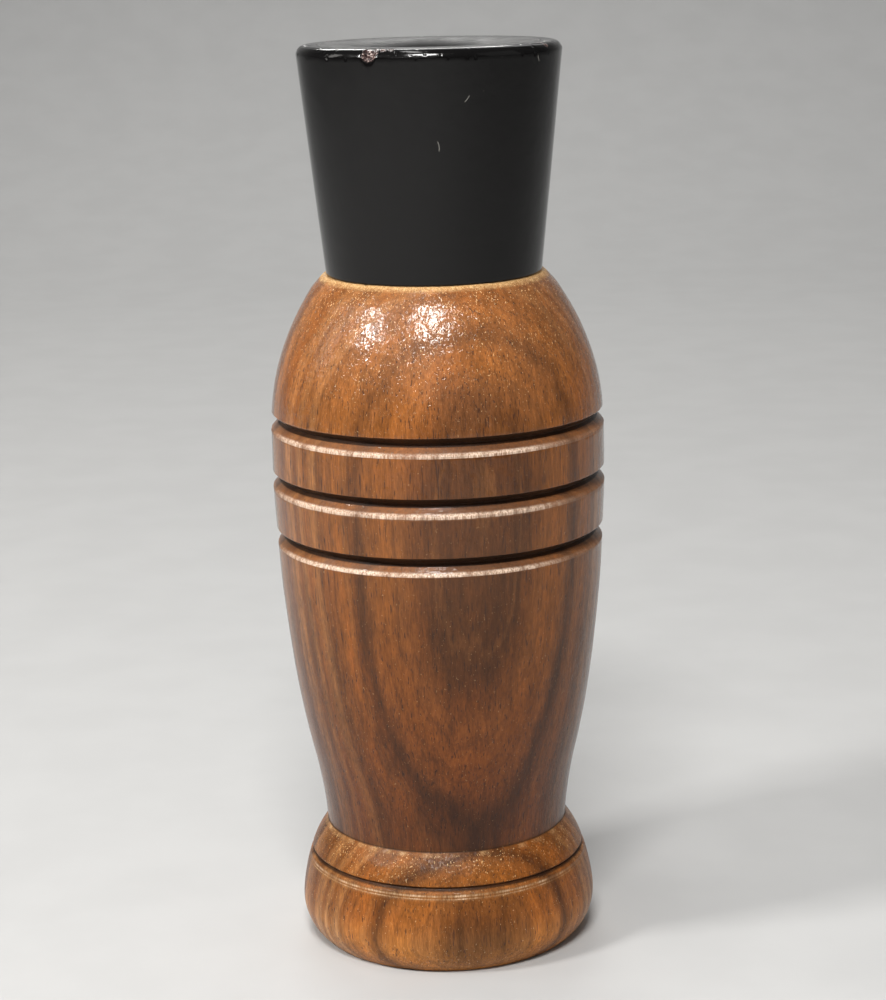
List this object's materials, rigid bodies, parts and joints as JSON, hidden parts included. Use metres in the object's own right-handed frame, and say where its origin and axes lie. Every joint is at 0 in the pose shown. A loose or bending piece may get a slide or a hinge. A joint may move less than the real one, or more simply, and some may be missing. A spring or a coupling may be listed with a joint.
{
  "type": "duck call",
  "caption": "Turned walnut duck call with grooved belly, flared mouthpiece foot, tapered black stopper and a pull-out double-reed tone board insert.",
  "frame": {"origin": "centre of the mouthpiece's rest face, on the call's long axis", "axes": "+Z along the call's axis from the mouthpiece to the exhaust end; the reeds face -Y"},
  "size_m": [0.044, 0.044, 0.12],
  "materials": {
    "walnut": "gloss lacquer",
    "black_acrylic": "polished",
    "insert_plastic": "moulded satin",
    "reed_film": "frosted film",
    "cork": "cut cork",
    "seal_rubber": "matte"
  },
  "bodies": {
    "barrel": {"barrel": "walnut"},
    "seals": {"front_o_ring": "seal_rubber", "rear_o_ring": "seal_rubber"},
    "insert": {"stopper": "black_acrylic", "tone_board": "insert_plastic"},
    "wedge": {"wedge": "cork"},
    "lower_reed": {"lower_reed": "reed_film"},
    "upper_reed": {"upper_reed": "reed_film"}
  },
  "joints": [
    {"name": "insert_pull", "type": "slide", "parent": "barrel", "child": "seals", "axis": [0, 0, 1], "range_m": [0, 0.07]},
    {"name": "insert_turn", "type": "hinge", "parent": "seals", "child": "insert", "pos_m": [0, 0, 0.0905], "axis": [0, 0, 1], "continuous": true},
    {"name": "wedge_pull", "type": "slide", "parent": "insert", "child": "wedge", "axis": [0, -0.0611, -0.9981], "range_m": [0, 0.012]},
    {"name": "lower_reed_flex", "type": "hinge", "parent": "insert", "child": "lower_reed", "pos_m": [0, -0.0002, 0.0705], "axis": [1, 0, 0], "range_deg": [-1.8, 1.8], "stiffness_Nm_per_rad": 0.005, "deforming": ["lower_reed"]},
    {"name": "upper_reed_flex", "type": "hinge", "parent": "insert", "child": "upper_reed", "pos_m": [0, -0.0005, 0.0705], "axis": [1, 0, 0], "range_deg": [-1.8, 1.8], "stiffness_Nm_per_rad": 0.003, "deforming": ["upper_reed"]}
  ],
  "couplings": [
    {"joint": "upper_reed_flex", "follows": "lower_reed_flex", "ratio": 1}
  ]
}
